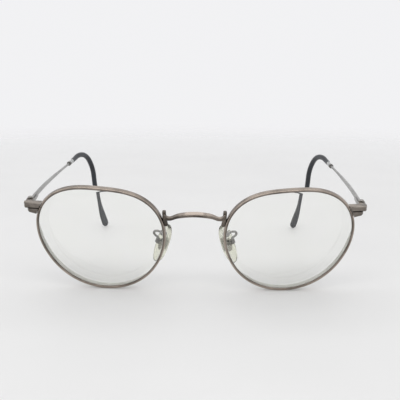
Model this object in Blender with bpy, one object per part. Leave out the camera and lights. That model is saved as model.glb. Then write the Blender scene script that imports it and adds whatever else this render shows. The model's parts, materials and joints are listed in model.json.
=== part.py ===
# Round metal eyeglasses, standing open on the lower rims and the temple tips.
# The front is drawn flat, then leaned, and each lens is wrapped a little round the face.
# Sizes are millimetres; meshes are written in metres. +X is the wearer's left, +Y is backwards, +Z is up.
import math
import bpy
import numpy as np
from mathutils import Vector

MM = 0.001

# Driving dimensions, mm and degrees
LENS_WIDTH = 48.0
LENS_HEIGHT = 43.5
NOSE_WIDTH = 23.0
BROW_FLATNESS = 0.042
CHEEK_LEAN = 0.024
SIDE_ROUNDING = -0.0144
FRONT_LEAN = 18.6
WRAP = 4.2

# Lens
LENS_FRONT_RADIUS = 130.0
LENS_BACK_RADIUS = 66.0
LENS_CENTRE_THICKNESS = 1.8
LENS_FRONT_STEP = 0.6
OPTICAL_CENTRE_IN = 4.0
OPTICAL_CENTRE_UP = 4.5
BEVEL_DEPTH = 0.45
BEVEL_HALF_WIDTH = 0.5
LENS_CLEARANCE = 0.05

# Rim wire, with a V groove inside
RIM_RADIAL = 1.0
RIM_DEPTH = 2.2
RIM_CHAMFER = 0.28
RIM_DIVISIONS = 72

# Rim lock: the closing blocks beside the split in the rim
SPLIT_HEIGHT = 11.6
SPLIT_GAP = 0.2
BLOCK_FRONT = 1.15
BLOCK_BACK = 1.5
UPPER_BLOCK_HEIGHT = 1.8
LOWER_BLOCK_HEIGHT = 2.3
LOWER_BLOCK_RISE = 1.0
LOWER_BLOCK_REACH = 4.3
END_PIECE_REACH = 4.7
END_ARM_WIDTH = 2.5
CORNER_CUT = 0.7
BRAZE_GAP = 0.05
BLOCK_FACE_ROOM = 0.04
LOCK_SCREW_OFFSET = 1.9
LOCK_SCREW_RADIUS = 0.45
LOCK_HEAD_RADIUS = 0.8
LOCK_HEAD_HEIGHT = 0.5
SCREW_CLEARANCE = 0.05

# Temple hinge
HINGE_LEAN = 10.0
HINGE_SETBACK = 5.7
HINGE_OUT = 3.2
HINGE_DROP = 0.1
HINGE_HEIGHT = 3.0
KNUCKLE_RADIUS = 1.2
MIDDLE_KNUCKLE_HEIGHT = 1.2
KNUCKLE_GAP = 0.08
HINGE_BASE = 0.8
HINGE_ROOM = 0.3
HINGE_PIN_RADIUS = 0.5
HINGE_HEAD_RADIUS = 0.95
HINGE_HEAD_HEIGHT = 0.5
LEAF_LENGTH = 6.0
LEAF_THICKNESS = 0.5

# Temple: distance along it, then pitch and inward angles there
TEMPLE_START = 1.7
TEMPLE_RAISE = 0.45
BLADE_OFFSET = -0.3
BLADE_LENGTH = 79.0
BLADE_STEP = 52.0
ROOT_HEIGHT = 1.8
BLADE_THICKNESS = 0.95
STEP_HEIGHT = 1.3
NECK_HEIGHT = 1.05
CORE_RADIUS = 0.5
CORE_LENGTH = 46.0
CORE_CLEARANCE = 0.08
EAR_BEND_START = 13.0
EAR_BEND_LENGTH = 26.0
TIP_REACH = 68.42
RING_LENGTH = 1.6
RING_RADIUS = 1.05
COLLAR_LENGTH = 5.0
COLLAR_RADIUS = 0.98
TIP_START_RADIUS = 1.05
TIP_BEND_RADIUS = 1.25
PADDLE_WIDTH = 5.2
PADDLE_THICKNESS = 2.1
PADDLE_LENGTH = 30.0
PADDLE_TWIST = 48.0

# Bridge and the posts that carry it
POST_WIDTH = 1.4
POST_DEPTH = 1.9
POST_FOOT = 6.0
POST_TURN = 8.6
POST_TOP = 12.3
POST_LEAN = 0.15
BRIDGE_END_HEIGHT = 9.3
BRIDGE_RISE = 2.1
BRIDGE_END_THICKNESS = 1.25
BRIDGE_MIDDLE_THICKNESS = 1.35
BRIDGE_END_DEPTH = 1.5
BRIDGE_MIDDLE_DEPTH = 2.4

# Nose pads
PAD_LENGTH = 15.5
PAD_WIDTH = 7.4
PAD_THICKNESS = 2.0
PAD_INSET = 0.9
PAD_BACK = 8.0
PAD_DROP = 4.1
PAD_FRONTAL = 18.6
PAD_SPLAY = 25.0
PAD_LEAN = 0.03
PAD_CROWN = 0.35
INSERT_LENGTH = 5.6
INSERT_WIDTH = 3.4
INSERT_THICKNESS = 0.5
INSERT_CLEARANCE = 0.06
BOSS_RISE = 0.85
BOSS_LENGTH = 1.5
BOSS_WIDTH = 1.0
BOSS_REACH = 2.2
PAD_AXIS_BACK = 1.75
BOX_WALL = 0.35
BOX_WEB = 0.5
BOX_CLEARANCE = 0.08
BOX_LENGTH = 1.8
BOX_GAP = 0.25
BOX_ROOM = 0.25
PAD_SCREW_RADIUS = 0.35
PAD_HEAD_RADIUS = 0.55
PAD_HEAD_HEIGHT = 0.3

# Small sizes shared by several pieces
SCREW_EDGE = 0.12
RIM_INNER_CHAMFER = 0.1
LIP_CLEARANCE = 0.1
LOCK_SCREW_BEHIND = 0.15
LOCK_SCREW_COVER = 0.35
SLEEVE_EDGE = 0.15
BLADE_CHAMFER = 0.22
KNUCKLE_CLEARANCE = 0.05
PADDLE_EASE = 0.85
ARM_RADIUS = 0.45
ARM_ROOT_HEIGHT = 0.6
ARM_STRAIGHT = 2.3
ARM_LOOP = ((12.5, 3.0, 0.6), (13.0, 4.3, 1.4), (14.0, 5.1, 1.75), (15.2, 5.8, 1.5), (15.6, 6.2, 0.6),
            (14.95, 6.6, -0.4))

SIDES = {"left": 1, "right": -1}


# Derived places, in the front's own frame: x out from the middle, y back, z up the front
LENS_CENTRE = (LENS_WIDTH + NOSE_WIDTH) / 2
RIM_INNER = LENS_CLEARANCE - BEVEL_DEPTH
RIM_OUTER = RIM_INNER + RIM_RADIAL
MEAN_RADIUS = (LENS_WIDTH + LENS_HEIGHT) / 4


def unit(vector):
    vector = np.asarray(vector, float)
    return vector / np.linalg.norm(vector, axis=-1, keepdims=True)


def outline(angle):
    """Lens edge: an ellipse, flattened at the brow, full at the cheek and leaning inwards."""
    ellipse = 1 / np.hypot(np.cos(angle) / (LENS_WIDTH / 2), np.sin(angle) / (LENS_HEIGHT / 2))
    change = BROW_FLATNESS * np.sin(3 * angle) + CHEEK_LEAN * np.sin(2 * angle)
    return ellipse * (1 + change + SIDE_ROUNDING * (np.cos(4 * angle) - 1))


def rim_bow(radius):
    """How far forwards the rim lies, because it follows the lens's front sphere."""
    return (MEAN_RADIUS ** 2 - radius ** 2) / (2 * LENS_FRONT_RADIUS)


def lens_to_front(points):
    """Lens frame (out, up, forwards) to the front's frame, for the wearer's left."""
    points = np.asarray(points, float)
    out, up, ahead = points[..., 0], points[..., 1], points[..., 2]
    wrap = math.radians(WRAP)
    x = LENS_CENTRE + out * math.cos(wrap) + ahead * math.sin(wrap)
    y = out * math.sin(wrap) - ahead * math.cos(wrap)
    return np.stack([x, y, up], -1)


def front_to_stand(points):
    """The front's frame to the standing frame: the top leans forwards."""
    points = np.asarray(points, float)
    lean = math.radians(FRONT_LEAN)
    x, y, z = points[..., 0], points[..., 1], points[..., 2]
    return np.stack([x, y * math.cos(lean) - z * math.sin(lean), y * math.sin(lean) + z * math.cos(lean)], -1)


def lens_to_stand(points):
    return front_to_stand(lens_to_front(points))


def edge_at(height, offset=0.0, nose_side=False):
    """Where a curve outside the lens edge has this height: distance out, and the angle there."""
    angles = np.linspace(0, math.pi / 2, 400)
    turned = math.pi - angles if nose_side else angles
    reach = outline(turned) + offset
    out = np.interp(height, reach * np.sin(turned), reach * np.cos(turned))
    return float(out), float(np.interp(height, reach * np.sin(turned), turned))


def rim_edge(height):
    """Distance out to the braze beside the rim, on the temple side."""
    return edge_at(height, RIM_OUTER + BRAZE_GAP + BLOCK_FACE_ROOM)[0]


# The hinge frame: its centre, and unit vectors out, back and up along the pin
lean_angle = math.radians(HINGE_LEAN)
HINGE_BACKWARDS = np.array([0, math.cos(lean_angle), math.sin(lean_angle)])
HINGE_UP = np.array([0, -math.sin(lean_angle), math.cos(lean_angle)])
HINGE_OUTWARDS = np.array([1.0, 0, 0])
hinge_anchor = lens_to_stand([LENS_WIDTH / 2 + RIM_OUTER + HINGE_OUT, SPLIT_HEIGHT - HINGE_DROP, 0])
HINGE_CENTRE = hinge_anchor + HINGE_SETBACK * HINGE_BACKWARDS


def hinge_to_stand(points):
    points = np.asarray(points, float)
    axes = np.array([HINGE_OUTWARDS, HINGE_BACKWARDS, HINGE_UP])
    return HINGE_CENTRE + points @ axes


# The pad frame: its centre, and unit vectors up the pad, forwards across it and towards the nose
frontal, splay = math.radians(PAD_FRONTAL), math.radians(PAD_SPLAY)
PAD_UP = unit([-math.sin(frontal), -PAD_LEAN, math.cos(frontal)])
pad_facing = np.array([-math.cos(splay), math.sin(splay), 0])
PAD_FACING = unit(pad_facing - PAD_UP * (pad_facing @ PAD_UP))
PAD_ACROSS = np.cross(PAD_UP, PAD_FACING)
PAD_CENTRE = np.array([NOSE_WIDTH / 2 + PAD_INSET, PAD_BACK, -PAD_DROP])


def pad_to_stand(points):
    """Pad frame (up, across, towards the nose) to the standing frame."""
    points = np.asarray(points, float)
    return PAD_CENTRE + points @ np.array([PAD_UP, PAD_ACROSS, PAD_FACING])


# Mesh helpers
def ring_faces(count, size, closed):
    faces = []
    spans = count if closed else count - 1
    for row in range(spans):
        a, b = row * size, (row + 1) % count * size
        for k in range(size):
            n = (k + 1) % size
            faces.append((a + k, a + n, b + n, b + k))
    if not closed:
        faces.append(tuple(range(size))[::-1])
        faces.append(tuple(range((count - 1) * size, count * size)))
    return faces


def signed_volume(verts, faces):
    total = 0.0
    for face in faces:
        for k in range(1, len(face) - 1):
            total += np.dot(verts[face[0]], np.cross(verts[face[k]], verts[face[k + 1]]))
    return total


def material(name, colour, roughness, metallic, alpha=1.0):
    finish = bpy.data.materials.new(name)
    finish.use_nodes = True
    shader = finish.node_tree.nodes["Principled BSDF"]
    shader.inputs["Base Color"].default_value = (*colour, 1)
    shader.inputs["Roughness"].default_value = roughness
    shader.inputs["Metallic"].default_value = metallic
    shader.inputs["Alpha"].default_value = alpha
    finish.diffuse_color = (*colour, alpha)
    return finish


def solid(name, rings, side, parent, finish, closed=False, smooth=40):
    """A closed body through rings of points in the standing frame, mirrored for the right side."""
    rings = np.asarray(rings, float)
    count, size = rings.shape[:2]
    verts = rings.reshape(-1, 3) * [side, 1, 1]
    faces = ring_faces(count, size, closed)
    if signed_volume(verts - verts.mean(0), faces) < 0:
        faces = [face[::-1] for face in faces]
    origin = np.array(parent.location) if parent else np.zeros(3)
    mesh = bpy.data.meshes.new(name)
    mesh.from_pydata((verts * MM - origin).tolist(), [], faces)
    mesh.materials.append(finish)
    thing = bpy.data.objects.new(name, mesh)
    bpy.context.collection.objects.link(thing)
    thing.parent = parent
    mesh.shade_smooth()
    mesh.set_sharp_from_angle(angle=math.radians(smooth))
    return thing


def circle(radius, points=16):
    angles = np.arange(points) * 2 * math.pi / points
    return np.stack([radius * np.cos(angles), radius * np.sin(angles)], -1)


def chamfered(width, height, chamfer):
    """Eight points round a rectangle whose corners are cut off."""
    w, h = width / 2, height / 2
    c = min(chamfer, 0.45 * width, 0.45 * height)
    return np.array([(w, c - h), (w, h - c), (w - c, h), (c - w, h),
                     (-w, h - c), (-w, c - h), (c - w, -h), (w - c, -h)])


def oval(length, width, points=16, power=2.4):
    """A superellipse, fuller than an ellipse."""
    angles = np.arange(points) * 2 * math.pi / points
    cos, sin = np.cos(angles), np.sin(angles)
    x = length / 2 * np.sign(cos) * np.abs(cos) ** (2 / power)
    y = width / 2 * np.sign(sin) * np.abs(sin) ** (2 / power)
    return np.stack([x, y], -1)


def along(path, sections, side_axis):
    """Sections carried along a path; the first coordinate is near side_axis, the second across it."""
    path = np.asarray(path, float)
    tangent = unit(np.gradient(path, axis=0))
    first = unit(side_axis - tangent * (tangent @ np.asarray(side_axis, float))[:, None])
    second = np.cross(tangent, first)
    sections = np.asarray(sections, float)
    if sections.ndim == 2:
        sections = np.repeat(sections[None], len(path), 0)
    return path[:, None] + sections[..., :1] * first[:, None] + sections[..., 1:] * second[:, None]


def plate(outline_points, low, high, frame):
    """A flat outline made solid between two heights; frame places (x, y, height)."""
    outline_points = np.asarray(outline_points, float)
    rings = [np.c_[outline_points, np.full(len(outline_points), level)] for level in (low, high)]
    return frame(np.array(rings))


def cylinder_rings(radius, start, end, points=16):
    """A round bar from start to end, as two rings."""
    start, end = np.asarray(start, float), np.asarray(end, float)
    axis = unit(end - start)
    helper = np.array([0, 0, 1.0]) if abs(axis[2]) < 0.9 else np.array([1.0, 0, 0])
    first = unit(np.cross(axis, helper))
    second = np.cross(axis, first)
    shape = circle(radius, points)
    disc = shape[:, :1] * first + shape[:, 1:] * second
    return np.array([start + disc, end + disc])


def screw_rings(shank, head, start, seat, top, points=16):
    """A screw: its shank from start to the seat, then its head up to the top, with a small chamfer."""
    start, seat, top = (np.asarray(p, float) for p in (start, seat, top))
    axis = unit(top - seat)
    edge = SCREW_EDGE
    parts = [(shank - edge, start), (shank, start + edge * axis), (shank, seat), (head, seat),
             (head, top - edge * axis), (head - edge, top)]
    return np.concatenate([cylinder_rings(radius, place, place + axis, points)[:1]
                           for radius, place in parts])


def cut(thing, rings, side):
    """Take a round or flat-sided cutter out of a body."""
    cutter = solid(thing.name + "_cutter", rings, side, thing.parent, thing.data.materials[0])
    cutter.hide_render = True
    cutter.display_type = "WIRE"
    boolean = thing.modifiers.new("cut", "BOOLEAN")
    boolean.operation = "DIFFERENCE"
    boolean.solver = "EXACT"
    boolean.object = cutter


# Eyewire and lens
def rim(side, name, parent, finish):
    """The grooved wire, open at the split beside the temple."""
    half, c, groove = RIM_DEPTH / 2, RIM_CHAMFER, RIM_INNER + BEVEL_DEPTH
    mouth, lip = BEVEL_HALF_WIDTH + LIP_CLEARANCE, RIM_INNER_CHAMFER
    profile = np.array([(groove, 0), (RIM_INNER, mouth), (RIM_INNER, half - lip), (RIM_INNER + lip, half),
                        (RIM_OUTER - c, half), (RIM_OUTER, half - c), (RIM_OUTER, c - half),
                        (RIM_OUTER - c, -half), (RIM_INNER + lip, -half), (RIM_INNER, lip - half),
                        (RIM_INNER, -mouth)])
    start = edge_at(SPLIT_HEIGHT + SPLIT_GAP / 2)[1]
    end = edge_at(SPLIT_HEIGHT - SPLIT_GAP / 2)[1] + 2 * math.pi
    angle = np.linspace(start, end, RIM_DIVISIONS + 1)[:, None]
    radius = outline(angle)
    reach = radius + profile[:, 0]
    ahead = rim_bow(radius) + profile[:, 1]
    rings = np.stack([reach * np.cos(angle), reach * np.sin(angle), ahead], -1)
    return solid(name, lens_to_stand(rings), side, parent, finish)


def lens(side, name, parent, finish):
    """A minus lens: thin in its optical centre, thick at the edge, with a V bevel for the groove."""
    angle = edge_at(SPLIT_HEIGHT)[1] + np.arange(RIM_DIVISIONS) * 2 * math.pi / RIM_DIVISIONS
    edge = outline(angle)
    wall = edge - BEVEL_DEPTH

    def front(radius):
        return LENS_FRONT_STEP + (MEAN_RADIUS ** 2 - radius ** 2) / (2 * LENS_FRONT_RADIUS)

    def back(radius):
        inwards = radius * np.cos(angle) + OPTICAL_CENTRE_IN
        upwards = radius * np.sin(angle) - OPTICAL_CENTRE_UP
        curve = 1 / (2 * LENS_BACK_RADIUS) - 1 / (2 * LENS_FRONT_RADIUS)
        return front(radius) - LENS_CENTRE_THICKNESS - (inwards ** 2 + upwards ** 2) * curve

    def ring(radius, ahead):
        return np.stack([radius * np.cos(angle), radius * np.sin(angle), ahead], -1)

    steps = (0.12, 0.5, 0.85)
    rings = [ring(wall * share, front(wall * share)) for share in steps]
    rings += [ring(wall, front(wall)), ring(wall, rim_bow(edge) + BEVEL_HALF_WIDTH),
              ring(edge, rim_bow(edge)), ring(wall, rim_bow(edge) - BEVEL_HALF_WIDTH), ring(wall, back(wall))]
    rings += [ring(wall * share, back(wall * share)) for share in steps[::-1]]
    return solid(name, lens_to_stand(rings), side, parent, finish)


# Rim lock and end piece
def lock_screw_place():
    return rim_edge(SPLIT_HEIGHT) + LOCK_SCREW_OFFSET, -LOCK_SCREW_BEHIND


def end_piece(side, name, parent, finish):
    """The upper closing block, turned back at its outer end to carry the hinge."""
    low, high = SPLIT_HEIGHT + SPLIT_GAP / 2, SPLIT_HEIGHT + SPLIT_GAP / 2 + UPPER_BLOCK_HEIGHT
    outer = rim_edge(SPLIT_HEIGHT) + END_PIECE_REACH + 1.0
    inner = outer - END_ARM_WIDTH

    def section(front_out, front_ahead, back_out, back_ahead):
        return lens_to_stand([(front_out, low, front_ahead), (front_out, high, front_ahead),
                              (back_out, high, back_ahead), (back_out, low, back_ahead)])

    first = lens_to_stand([(rim_edge(low), low, BLOCK_FRONT), (rim_edge(high), high, BLOCK_FRONT),
                           (rim_edge(high), high, -BLOCK_BACK), (rim_edge(low), low, -BLOCK_BACK)])
    rear = KNUCKLE_RADIUS + HINGE_ROOM + HINGE_BASE + BRAZE_GAP
    tall = HINGE_HEIGHT / 2
    last = hinge_to_stand([(KNUCKLE_RADIUS, -rear, -tall), (KNUCKLE_RADIUS, -rear, tall),
                           (-KNUCKLE_RADIUS, -rear, tall), (-KNUCKLE_RADIUS, -rear, -tall)])
    turn = section(outer, -CORNER_CUT, inner, -BLOCK_BACK - CORNER_CUT)
    rings = [first, section(inner - CORNER_CUT, BLOCK_FRONT, inner - CORNER_CUT, -BLOCK_BACK),
             section(outer - CORNER_CUT, BLOCK_FRONT, inner, -BLOCK_BACK - 0.2),
             section(outer - 0.2, BLOCK_FRONT - CORNER_CUT, inner + 0.1, -BLOCK_BACK - 0.45),
             turn, last]
    thing = solid(name, rings, side, parent, finish, smooth=30)
    out, ahead = lock_screw_place()
    hole = cylinder_rings(LOCK_SCREW_RADIUS + SCREW_CLEARANCE, lens_to_stand([out, low - 1, ahead]),
                          lens_to_stand([out, high - LOCK_SCREW_COVER, ahead]))
    cut(thing, hole, side)
    return thing


def rim_lock(side, name, parent, finish):
    """The lower closing block; its underside rises outwards and holds the screw's head."""
    high = SPLIT_HEIGHT - SPLIT_GAP / 2
    low = high - LOWER_BLOCK_HEIGHT
    outer = rim_edge(SPLIT_HEIGHT) + LOWER_BLOCK_REACH

    def section(out_low, out_high, bottom, ahead, behind):
        return lens_to_stand([(out_low, bottom, ahead), (out_high, high, ahead),
                              (out_high, high, -behind), (out_low, bottom, -behind)])

    rings = [section(rim_edge(low), rim_edge(high), low, BLOCK_FRONT, BLOCK_BACK),
             section(outer - CORNER_CUT, outer - CORNER_CUT, low + LOWER_BLOCK_RISE * 0.7, BLOCK_FRONT,
                     BLOCK_BACK),
             section(outer, outer, low + LOWER_BLOCK_RISE, BLOCK_FRONT - CORNER_CUT, BLOCK_BACK - CORNER_CUT)]
    thing = solid(name, rings, side, parent, finish, smooth=30)
    out, ahead = lock_screw_place()
    seat = low + LOWER_BLOCK_RISE * 0.5 + LOCK_HEAD_HEIGHT + 0.1
    shank = LOCK_SCREW_RADIUS + SCREW_CLEARANCE
    head = LOCK_HEAD_RADIUS + SCREW_CLEARANCE
    profile = [(shank, high + 1), (shank, seat), (head, seat), (head, low - 1)]
    rings = [cylinder_rings(radius, lens_to_stand([out, level, ahead]),
                            lens_to_stand([out, level - 1, ahead]))[0] for radius, level in profile]
    cut(thing, rings, side)
    return thing


def lock_screw(side, name, parent, finish):
    out, ahead = lock_screw_place()
    low = SPLIT_HEIGHT - SPLIT_GAP / 2 - LOWER_BLOCK_HEIGHT + LOWER_BLOCK_RISE * 0.5
    seat = low + LOCK_HEAD_HEIGHT + 0.1 - SCREW_CLEARANCE
    tip = SPLIT_HEIGHT + SPLIT_GAP / 2 + UPPER_BLOCK_HEIGHT - LOCK_SCREW_COVER - 2 * SCREW_CLEARANCE
    places = [lens_to_stand([out, level, ahead]) for level in (tip, seat, seat - LOCK_HEAD_HEIGHT)]
    return solid(name, screw_rings(LOCK_SCREW_RADIUS, LOCK_HEAD_RADIUS, *places), side, parent, finish)


# Temple hinge
def hinge_front(side, name, parent, finish):
    """The outer knuckles and the base brazed to the end piece."""
    rear = KNUCKLE_RADIUS + HINGE_ROOM + HINGE_BASE
    arc = np.linspace(0, math.pi, 11)
    shape = [(-KNUCKLE_RADIUS, -rear), (KNUCKLE_RADIUS, -rear)]
    shape += [(KNUCKLE_RADIUS * math.cos(a), KNUCKLE_RADIUS * math.sin(a)) for a in arc]
    tall = HINGE_HEIGHT / 2
    thing = solid(name, plate(shape, -tall, tall, hinge_to_stand), side, parent, finish)
    wide, deep = KNUCKLE_RADIUS + 1, KNUCKLE_RADIUS + HINGE_ROOM
    slot = [(-wide, -deep), (wide, -deep), (wide, wide), (-wide, wide)]
    half = MIDDLE_KNUCKLE_HEIGHT / 2 + KNUCKLE_GAP
    cut(thing, plate(slot, -half, half, hinge_to_stand), side)
    bore = circle(HINGE_PIN_RADIUS + SCREW_CLEARANCE)
    cut(thing, plate(bore, -HINGE_HEIGHT, HINGE_HEIGHT, hinge_to_stand), side)
    return thing


def hinge_rear(side, name, parent, finish):
    """The middle knuckle and the leaf brazed inside the blade."""
    inside = BLADE_OFFSET - BLADE_THICKNESS / 2 - BRAZE_GAP
    radius = KNUCKLE_RADIUS - KNUCKLE_CLEARANCE
    start = math.acos((inside - LEAF_THICKNESS) / radius) if LEAF_THICKNESS - inside < radius else math.pi
    arc = np.linspace(-2 * math.pi + start + 0.1, 0.45 * math.pi, 15)
    shape = [(radius * math.cos(a), radius * math.sin(a)) for a in arc]
    back = TEMPLE_START - 0.1
    shape += [(inside, back), (inside, TEMPLE_START + LEAF_LENGTH),
              (inside - LEAF_THICKNESS, TEMPLE_START + LEAF_LENGTH), (inside - LEAF_THICKNESS, 0.6)]
    half = MIDDLE_KNUCKLE_HEIGHT / 2
    thing = solid(name, plate(shape, -half, half, hinge_to_stand), side, parent, finish)
    bore = circle(HINGE_PIN_RADIUS + SCREW_CLEARANCE)
    cut(thing, plate(bore, -HINGE_HEIGHT, HINGE_HEIGHT, hinge_to_stand), side)
    return thing


def hinge_screw(side, name, parent, finish):
    seat = HINGE_HEIGHT / 2 + SCREW_CLEARANCE
    places = hinge_to_stand([(0, 0, -HINGE_HEIGHT / 2), (0, 0, seat), (0, 0, seat + HINGE_HEAD_HEIGHT)])
    return solid(name, screw_rings(HINGE_PIN_RADIUS, HINGE_HEAD_RADIUS, *places), side, parent, finish)


# Temple, its tip and collars
def temple_bends():
    """Distance along the temple, with its pitch and inward angle in degrees there."""
    bend = BLADE_LENGTH + EAR_BEND_START
    drop = bend + EAR_BEND_LENGTH
    return np.array([(0, 6, 0), (30, 1, -1.3), (BLADE_LENGTH, 2, 1.7), (bend, 13.5, 11),
                     (bend + EAR_BEND_LENGTH * 0.27, -8, 19), (bend + EAR_BEND_LENGTH * 0.62, -52.5, 14),
                     (drop, -70.3, 1.3), (BLADE_LENGTH + TIP_REACH, -74.2, 15)])


def temple_line(distances):
    """The temple's centre line, by adding up its direction along it."""
    bends = temple_bends()
    fine = np.linspace(0, bends[-1, 0], 1200)
    pitch = np.radians(np.interp(fine, bends[:, 0], bends[:, 1]))
    inwards = np.radians(np.interp(fine, bends[:, 0], bends[:, 2]))
    level = np.cos(inwards)
    direction = np.stack([-np.sin(inwards), level * np.cos(pitch), level * np.sin(pitch)], -1)
    steps = (direction[1:] + direction[:-1]) / 2 * (fine[1] - fine[0])
    line = np.vstack([np.zeros(3), np.cumsum(steps, axis=0)])
    start = hinge_to_stand([BLADE_OFFSET, TEMPLE_START, TEMPLE_RAISE])
    return start + np.stack([np.interp(distances, fine, line[:, k]) for k in range(3)], -1)


def temple_frame(distances):
    """Centre line, and unit vectors outwards and upwards across it."""
    small = 0.05
    line = temple_line(distances)
    tangent = unit(temple_line(np.asarray(distances) + small) - temple_line(np.asarray(distances) - small))
    first = unit(np.array([1.0, 0, 0]) - tangent * tangent[:, :1])
    return line, first, np.cross(first, tangent)


def place_sections(distances, sections):
    line, outwards, upwards = temple_frame(distances)
    sections = np.asarray(sections, float)
    return line[:, None] + sections[..., :1] * outwards[:, None] + sections[..., 1:] * upwards[:, None]


def tip_start():
    return BLADE_LENGTH + RING_LENGTH + COLLAR_LENGTH + 2 * BRAZE_GAP


def bore_stations():
    """Places along the core, close together round the ear bend."""
    bend = BLADE_LENGTH + EAR_BEND_START
    return np.r_[tip_start(), np.linspace(bend - 3, bend + EAR_BEND_LENGTH, 12), BLADE_LENGTH + CORE_LENGTH]


def temple(side, name, parent, finish):
    """The flat blade, drawn down to a round core wire that runs on inside the tip."""
    blade = np.array([(0.15, ROOT_HEIGHT), (4, ROOT_HEIGHT), (15, ROOT_HEIGHT * 0.95),
                      (32, ROOT_HEIGHT * 0.85),
                      (BLADE_STEP - 0.6, STEP_HEIGHT), (BLADE_STEP, NECK_HEIGHT), (65, NECK_HEIGHT),
                      (BLADE_LENGTH - 1.5, NECK_HEIGHT)])
    sections = [chamfered(BLADE_THICKNESS, height, BLADE_CHAMFER) for height in blade[:, 1]]
    core = circle(CORE_RADIUS, 8) @ turn_matrix(math.pi / 8)
    collars = tip_start() - COLLAR_LENGTH * np.array([1.0, 0.5])
    stations = np.r_[blade[:, 0], BLADE_LENGTH - 0.3, collars, bore_stations()]
    sections += [np.roll(core, 1, axis=0)] * (len(stations) - len(blade))
    return solid(name, place_sections(stations, sections), side, parent, finish, smooth=35)


def turn_matrix(angle):
    return np.array([(math.cos(angle), math.sin(angle)), (-math.sin(angle), math.cos(angle))])


def sleeve(side, name, parent, finish, start, length, radius):
    """A short tube round the core wire."""
    edge = SLEEVE_EDGE
    stations = np.array([start, start + edge, start + length / 2, start + length - edge, start + length])
    outer = [circle(radius - edge)] + [circle(radius)] * 3 + [circle(radius - edge)]
    bore = circle(CORE_RADIUS + CORE_CLEARANCE)
    rings = np.concatenate([place_sections(stations, outer), place_sections(stations[::-1], [bore] * 5)])
    return solid(name, rings, side, parent, finish, closed=True)


def temple_tip(side, name, parent, finish):
    """The plastic tip: round over the ear bend, then a flat paddle, bored for the core wire."""
    start, end = tip_start(), BLADE_LENGTH + TIP_REACH
    paddle = end - PADDLE_LENGTH
    bore = bore_stations()
    stations = np.r_[bore[:-1], np.linspace(bore[-2] + 2.5, end - 2.0, 8), end - 1.0, end - 0.35, end]
    grow = np.clip((stations - start) / 12, 0, 1)
    flat = np.clip((stations - paddle) / (PADDLE_LENGTH * PADDLE_EASE), 0, 1)
    flat = flat * flat * (3 - 2 * flat)
    radius = TIP_START_RADIUS + (TIP_BEND_RADIUS - TIP_START_RADIUS) * grow
    closing = np.interp(end - stations, [0, 0.35, 1.0, 2.0, 3.5], [0.35, 0.62, 0.83, 0.96, 1])
    narrow = (radius * (1 - flat) + PADDLE_THICKNESS / 2 * flat) * closing
    wide = (radius * (1 - flat) + PADDLE_WIDTH / 2 * flat) * closing
    twist = math.radians(PADDLE_TWIST) * flat
    disc = circle(1.0, 14)
    outer = np.stack([narrow[:, None] * disc[:, 0], wide[:, None] * disc[:, 1]], -1)
    turned = np.stack([outer[..., 0] * np.cos(twist)[:, None] - outer[..., 1] * np.sin(twist)[:, None],
                       outer[..., 0] * np.sin(twist)[:, None] + outer[..., 1] * np.cos(twist)[:, None]], -1)
    inner = circle(CORE_RADIUS + CORE_CLEARANCE, 14)
    depth = np.r_[bore[:-1], bore[-1] + 0.3]
    rings = np.concatenate([place_sections(stations[::-1], turned[::-1]),
                            place_sections(depth, [inner] * len(depth))])
    return solid(name, rings, side, parent, finish)


# Bridge
def post(side, name, parent, finish):
    """A short bar brazed beside the rim: its foot follows the rim, its top stands free."""
    offset = RIM_OUTER + BRAZE_GAP + POST_WIDTH / 2
    places = [(height, *edge_at(height, offset, True)) for height in np.linspace(POST_FOOT, POST_TURN, 6)]
    line = np.array([(out, height, rim_bow(outline(angle))) for height, out, angle in places])
    rest = POST_TOP - POST_TURN
    ends = [line[-1] + [POST_LEAN * share, rest * share, 0] for share in (0.35, 0.9, 1.0)]
    line = np.vstack([line, ends])
    scale = np.r_[0.75, np.ones(len(line) - 2), 0.6][:, None, None]
    sections = chamfered(POST_WIDTH, POST_DEPTH, 0.35)[None] * scale
    rings = along(lens_to_stand(line), sections, lens_to_stand([-1, 0, 0]) - lens_to_stand([0, 0, 0]))
    return solid(name, rings, side, parent, finish, smooth=35)


def bridge(name, parent, finish):
    """A flat arch between the posts, deeper and thicker in the middle."""
    offset = RIM_OUTER + 2 * BRAZE_GAP + POST_WIDTH
    low = BRIDGE_END_HEIGHT - BRIDGE_END_THICKNESS
    end = lens_to_front([edge_at(low, offset, True)[0], low, 0])
    share = np.linspace(-1, 1, 25)
    height = BRIDGE_END_HEIGHT + BRIDGE_RISE * (1 - share ** 2) ** 1.25
    path = np.stack([share * end[0], end[1] - 0.2 - 0.5 * (1 - share ** 2), height], -1)
    middle = (1 - np.abs(share)) ** 0.8
    thick = BRIDGE_END_THICKNESS + (BRIDGE_MIDDLE_THICKNESS - BRIDGE_END_THICKNESS) * middle
    deep = BRIDGE_END_DEPTH + (BRIDGE_MIDDLE_DEPTH - BRIDGE_END_DEPTH) * middle
    sections = [chamfered(d, t, 0.35) for d, t in zip(deep, thick)]
    rings = along(front_to_stand(path), sections, front_to_stand([0, 1.0, 0]))
    return solid(name, rings, 1, parent, finish, smooth=35)


# Nose pads
def insert_shape(extra):
    """The metal core of a pad: an oval plate, and a boss towards the box."""
    half = INSERT_THICKNESS / 2
    wide = oval(INSERT_LENGTH + 2 * extra, INSERT_WIDTH + 2 * extra, 16)
    angles = np.arange(16) * math.pi / 8
    square = np.stack([np.cos(angles), np.sin(angles)], -1)
    square = square / np.abs(square).max(1, keepdims=True)
    boss = square * [(BOSS_LENGTH / 2 + extra), (BOSS_WIDTH / 2 + extra)] + [BOSS_RISE, 0]
    levels = [(wide, half + extra), (wide, -half - extra), (boss, -half - extra),
              (boss, -BOSS_REACH - 3 * extra)]
    return pad_to_stand([np.c_[shape, np.full(16, level)] for shape, level in levels])


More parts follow.
